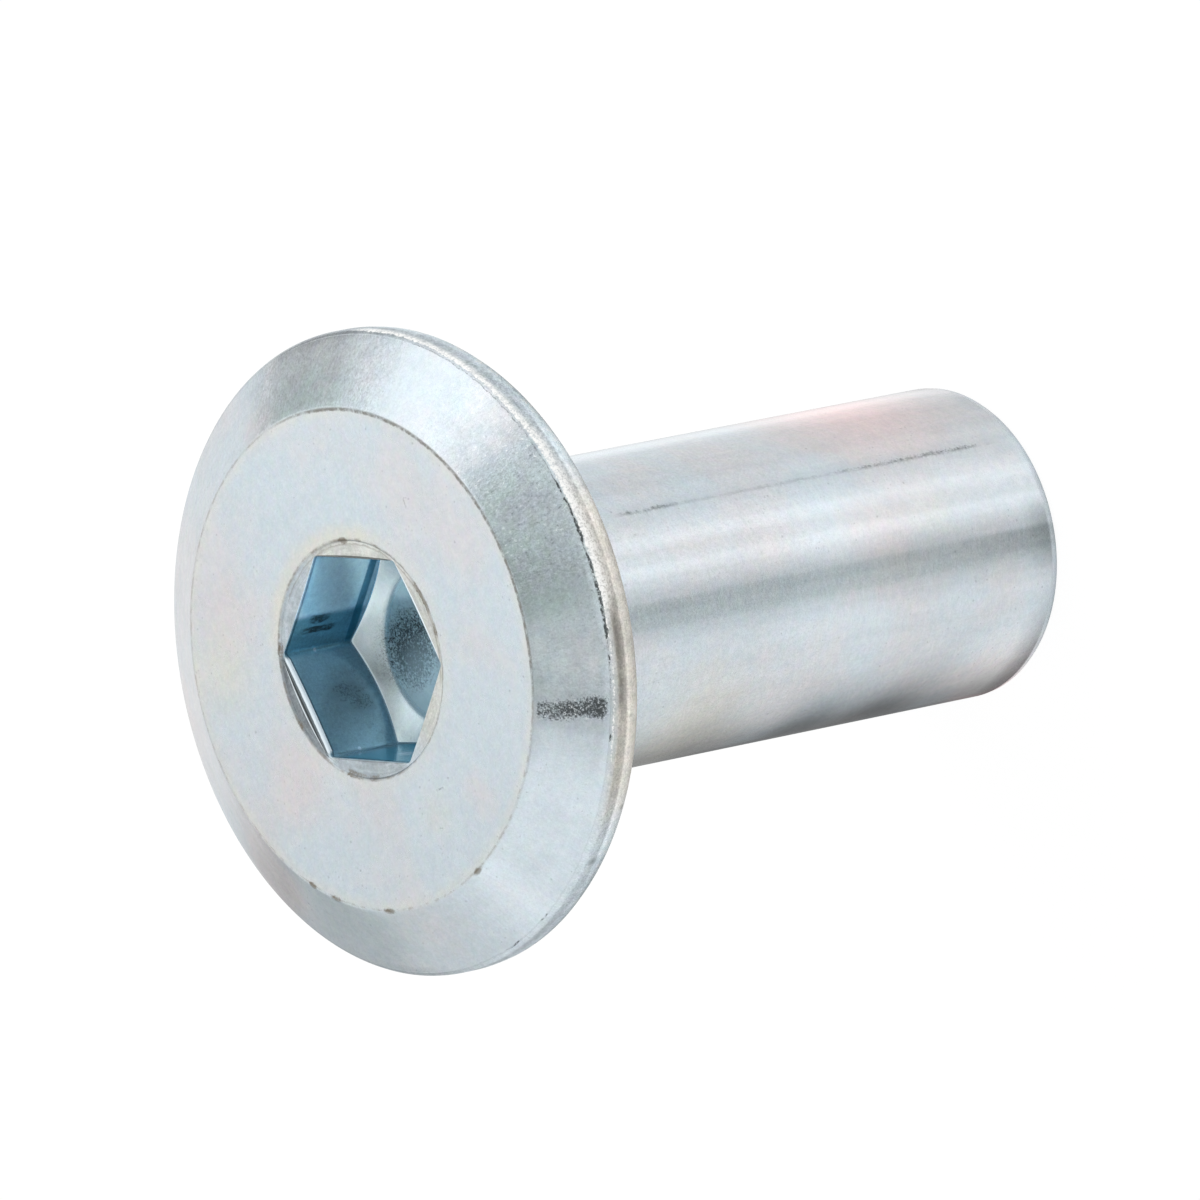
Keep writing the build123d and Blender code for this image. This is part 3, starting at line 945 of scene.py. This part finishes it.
def zinc_plating(finish, corner_run):
    """Satin zinc over cold-formed steel: fine grain everywhere, a hammered bevel, lengthwise
    streaks on the sleeve, a rough rim, a blue film in the socket and brown residue in the creases,
    with painted highlights, painted shade and painted reflections in places.
    The corner's run is the radius less the height where the bevel meets the rim."""
    material = bpy.data.materials.new("zinc_plating")
    tree = Tree(material)
    skin = Skin(tree)
    fray = skin.mottle.swing(0.06) + skin.ragged.swing(0.06)
    on_dish = skin.region(BRINK, MOUTH)
    on_wall = skin.region(FOOT, BRINK)
    on_floor = 1 - tree.ease(skin.station, FOOT - 0.02, FOOT + 0.02)
    on_middle = 1 - tree.ease(skin.station, RING_INNER - 0.02, RING_INNER + 0.02)
    in_bore = tree.ease(skin.station, BORE_MOUTH, BORE_MOUTH + 0.1)

    # Colour of each region, its tone and a slight play of tints
    base = plate_colour(skin, finish)
    base = tree.blend(on_dish, base, dish_colour(skin, finish))
    base = tree.blend(skin.on_rim, base, rim_colour(skin, finish))
    base = tree.blend(on_wall, base, wall_colour(skin, finish, fray))
    base = tree.blend(on_floor, base, floor_colour(skin, finish, on_middle))
    tints = tree.noise(skin.place, 4.0, 3.0, output="Color")
    base = tree.stretch(base, tree.vector("ADD", tree.shade(tints, 0.13), (0.935, 0.935, 0.935)))
    # Painted shade: the plating inside the bore is painted a fifth darker
    base = tree.shade(base, plate_tone(skin) + (1 - in_bore * 0.2))

    # Marks over it: soot and painted shade, brown residue, then bright worn metal and painted
    # highlights
    lip_shade, lip_highlight = socket_lip(skin, fray)
    scuff, scuff_glints = bevel_scuff(skin)
    corner_dark, burr_and_glint = rim_corner(skin, corner_run)
    edge_grime, edge_step_shadow = edge_residue(skin, fray)
    pits = skin.on_bevel * skin.sectors(BEVEL_PITS) * tree.ease(skin.grains, 0.28, 0.38, 0.35, 0.0)
    # Painted glints on the bevel's bright sectors
    fleck_glints = skin.on_bevel * skin.sectors(BEVEL_GLINTS)
    fleck_glints = fleck_glints * tree.ease(skin.grains, 0.60, 0.70, 0.0, 0.5)
    scratches = skin.strokes(SCRATCHES, TOTAL_LENGTH, skin.grit.swing(0.08))
    scratches = scratches * tree.ease(skin.ragged, 0.36, 0.56, 0.0, 0.40)
    dark = specks(skin) * (1 - on_floor) * 0.42 + sleeve_scratch(skin) * 0.55 + scuff * 0.92
    dark = dark + lip_shade * 0.95 + edge_step_shadow + pits + scratches
    base = tree.blend(dark.at_most(0.95), base, rgba(finish.soot))
    brown = edge_grime + mouth_residue(skin, fray, on_dish)
    base = tree.blend(brown.at_most(0.9), base, rgba(finish.grime))
    base = tree.blend(corner_dark.at_most(0.92), base, rgba(finish.soot))
    bright = lip_highlight * 0.95 + burr_and_glint + scuff_glints * 0.7 + fleck_glints
    base = tree.blend(bright.at_most(0.95), base, rgba(finish.burr_and_glint))
    # The lip's painted highlight takes a bluish white
    base = tree.blend(lip_highlight.at_most(0.8), base, rgba(finish.lip))

    # Gloss and relief
    end_arc = tree.band(skin.station, SLEEVE_END - 0.011, SLEEVE_END + 0.011, 0.003)
    rough = finish.roughness + skin.clouds.swing(0.06) + skin.patches.swing(0.08)
    rough = rough + skin.on_rim * 0.2
    rough = rough - on_wall * 0.14 - on_floor * 0.05 - skin.on_bevel * 0.09 - skin.on_sleeve * 0.07
    rough = rough + brown.at_most(1.0) * 0.2 + burr_and_glint * 0.2 + end_arc * 0.3
    # Painted highlights and the other white marks turn partly unmetallic, so that they stay white
    bare = (bright * 0.85 + end_arc * 0.7 + skin.rim_foot * 0.6).at_most(0.9)
    metal = 1 - on_wall * 0.4 - on_middle * 0.3 - bare
    relief = skin.ragged * (0.001 + skin.on_rim * 0.007) + skin.mottle * (0.001 + skin.on_rim * 0.012)
    hammer = skin.grains * (0.0014 + skin.sector(271, 10, 10, 0.0022)) + skin.hoops * 0.001
    relief = relief + skin.on_bevel * hammer
    bump = tree.node("ShaderNodeBump", {}, {"Distance": MM, "Height": relief})
    shader = tree.node("ShaderNodeBsdfPrincipled", {}, {
        "Base Color": base, "Metallic": metal, "Roughness": rough, "Normal": bump})
    tree.node("ShaderNodeOutputMaterial", {}, {"Surface": shader})
    return material


class NutOperator(bpy.types.Operator):
    """Build the cap nut with its plating"""
    bl_idname = "cap_nut.nut"
    bl_label = "Cap nut"

    def execute(self, context):
        props = context.scene.nut_sizes
        sizes = {key: getattr(props, key) / MM for key in NutSizes.__annotations__}
        for key in ("mouth_slope", "ring_slope"):
            sizes[key] = getattr(props, key)
        mesh = lathe_mesh("plated_cap_nut", *nut_surface(sizes))
        nut = bpy.data.objects.new("plated_cap_nut", mesh)
        context.scene.collection.objects.link(nut)
        corner_run = HEAD_RADIUS - (TOTAL_LENGTH - sizes["bevel_depth"])
        nut.data.materials.append(zinc_plating(context.scene.plating_finish, corner_run))
        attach(nut, "root")
        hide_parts("cap_nut")
        return {"FINISHED"}


# ---------------------------------------------------------------- the studio

# Soft panels and gaps round the nut: direction (azimuth, elevation), half width, softness, in
# degrees, and how much brighter or darker than the tent they are
PANELS = {
    "key panel": (359, 49, 19, 2, 0.27),
    "gap beside the key": (23, 4, 6, 20, -0.60),
    "gap above the key": (338, 61, 6, 3, -0.18),
    "front gap": (98, -9, 14, 11, -0.42),
    "front shade": (114, 19, 7, 15, -0.20),
    "low gap": (92, -77, 21, 26, -1.28),
    "overhead gap": (112, 85, 19, 5, -0.28),
    "overhead shade": (318, 69, 17, 2, -0.25),
    "low side gap": (241, -56, 4, 18, -0.54),
    "low side panel": (282, -40, 12, 13, 0.13),
    "gap beside it": (316, -41, 4, 9, -0.12),
    "low back gap": (357, -35, 10, 13, -0.13),
    "low back panel": (49, -50, 6, 11, 0.52),
}
TENT_LEVEL = 0.97
DARKEST = 0.15
FLOOR_HALF = 2.0


def studio_world(scene):
    """A pale tent with soft panels and gaps. The camera itself sees plain white."""
    world = bpy.data.worlds.new("studio")
    scene.world = world
    tree = Tree(world)
    look = tree.node("ShaderNodeTexCoord", output="Generated")
    level = TENT_LEVEL
    for azimuth, elevation, half, soft, amount in PANELS.values():
        towards = direction(math.radians(azimuth), math.radians(elevation))
        inner, outer = math.cos(math.radians(half)), math.cos(math.radians(half + soft))
        level = tree.ease(tree.dot(look, towards), outer, inner, 0.0, amount) + level
    level = level.at_least(DARKEST)
    camera_ray = tree.node("ShaderNodeLightPath", output="Is Camera Ray")
    strength = camera_ray * (1 - level) + level
    background = tree.node("ShaderNodeBackground", {}, {"Color": (1, 1, 1, 1), "Strength": strength})
    tree.node("ShaderNodeOutputWorld", {}, {"Surface": background})


def floor_material():
    """White card that keeps a soft shadow and can be seen through from below."""
    material = bpy.data.materials.new("white_card")
    tree = Tree(material)
    card = tree.node("ShaderNodeBsdfDiffuse", {}, {"Color": (0.93, 0.93, 0.93, 1)})
    glow = tree.node("ShaderNodeEmission", {}, {"Color": (1, 1, 1, 1), "Strength": 1.03})
    camera_ray = tree.node("ShaderNodeLightPath", output="Is Camera Ray")
    lit = tree.node("ShaderNodeMixShader", {}, {0: camera_ray * 0.90, 1: card, 2: glow})
    clear = tree.node("ShaderNodeBsdfTransparent")
    behind = tree.node("ShaderNodeNewGeometry", output="Backfacing")
    both = tree.node("ShaderNodeMixShader", {}, {0: behind, 1: lit, 2: clear})
    tree.node("ShaderNodeOutputMaterial", {}, {"Surface": both})
    return material


def studio_camera(scene, studio):
    """The camera, turned about its line of sight so that the nut lies across the picture."""
    middle = (NUT_BOX[0] + NUT_BOX[1]) / 2
    back = direction(studio.azimuth, studio.elevation)
    right = Vector((0, 0, 1)).cross(back).normalized()
    up = back.cross(right)
    turned_up = up * math.cos(studio.roll) + right * math.sin(studio.roll)
    turned_right = right * math.cos(studio.roll) - up * math.sin(studio.roll)
    aim = middle + turned_right * studio.aim_right
    camera = bpy.data.objects.new("camera", bpy.data.cameras.new("camera"))
    camera.data.lens = studio.lens_mm
    camera.data.sensor_width = 36
    camera.data.clip_start, camera.data.clip_end = 0.01, 10
    place = Matrix((turned_right, turned_up, back)).transposed().to_4x4()
    place.translation = aim + back * studio.distance
    camera.matrix_world = place
    scene.collection.objects.link(camera)
    scene.camera = camera


def studio_floor(scene):
    """The floor, a level square that metal doesn't mirror."""
    mesh = bpy.data.meshes.new("floor")
    corners = [(x * FLOOR_HALF, y * FLOOR_HALF, 0) for x, y in ((-1, -1), (1, -1), (1, 1), (-1, 1))]
    mesh.from_pydata(corners, [], [(0, 1, 2, 3)])
    mesh.materials.append(floor_material())
    floor = bpy.data.objects.new("floor", mesh)
    floor.visible_glossy = False
    scene.collection.objects.link(floor)
    floor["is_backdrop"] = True


def studio_lamp(scene, studio):
    """A soft round lamp that faces the middle of the floor."""
    lamp = bpy.data.lights.new("softbox", "AREA")
    lamp.shape = "DISK"
    lamp.size = studio.lamp_size
    lamp.energy = studio.lamp_power
    light = bpy.data.objects.new("softbox", lamp)
    light.location = direction(studio.lamp_azimuth, studio.lamp_elevation) * studio.lamp_distance
    light.rotation_mode = "QUATERNION"
    light.rotation_quaternion = light.location.to_track_quat("Z", "Y")
    light.visible_glossy = False
    scene.collection.objects.link(light)


class StageOperator(bpy.types.Operator):
    """Set up the floor, the tent, the soft lamp and the camera"""
    bl_idname = "cap_nut.stage"
    bl_label = "Stage"

    def execute(self, context):
        scene = context.scene
        scene.view_settings.view_transform = "Standard"
        studio_world(scene)
        studio_floor(scene)
        studio_lamp(scene, scene.studio_set)
        studio_camera(scene, scene.studio_set)
        return {"FINISHED"}


class NutPanel(bpy.types.Panel):
    """Sidebar panel with the nut's sizes, finish and studio"""
    bl_idname = "VIEW3D_PT_cap_nut"
    bl_label = "Cap Nut"
    bl_space_type = "VIEW_3D"
    bl_region_type = "UI"
    bl_category = "Cap Nut"

    def draw(self, context):
        operators = {"nut_sizes": NutOperator, "plating_finish": None, "studio_set": StageOperator}
        for owner, operator in operators.items():
            group = getattr(context.scene, owner)
            column = self.layout.column(align=True)
            for key in type(group).__annotations__:
                column.prop(group, key)
            if operator:
                column.operator(operator.bl_idname)


CLASSES = (NutSizes, PlatingFinish, StudioSet, NutOperator, StageOperator, NutPanel)


def register():
    for cls in CLASSES:
        bpy.utils.register_class(cls)
    bpy.types.Scene.nut_sizes = bpy.props.PointerProperty(type=NutSizes)
    bpy.types.Scene.plating_finish = bpy.props.PointerProperty(type=PlatingFinish)
    bpy.types.Scene.studio_set = bpy.props.PointerProperty(type=StudioSet)


def unregister():
    for name in ("nut_sizes", "plating_finish", "studio_set"):
        delattr(bpy.types.Scene, name)
    for cls in reversed(CLASSES):
        bpy.utils.unregister_class(cls)


def main():
    register()
    bpy.ops.cap_nut.nut()
    bpy.ops.cap_nut.stage()
    boxes = {"cad": CAD_BOX, "visual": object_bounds()}
    boxes = {name: [list(corner) for corner in box] for name, box in boxes.items()}


if __name__ == "__main__":
    main()
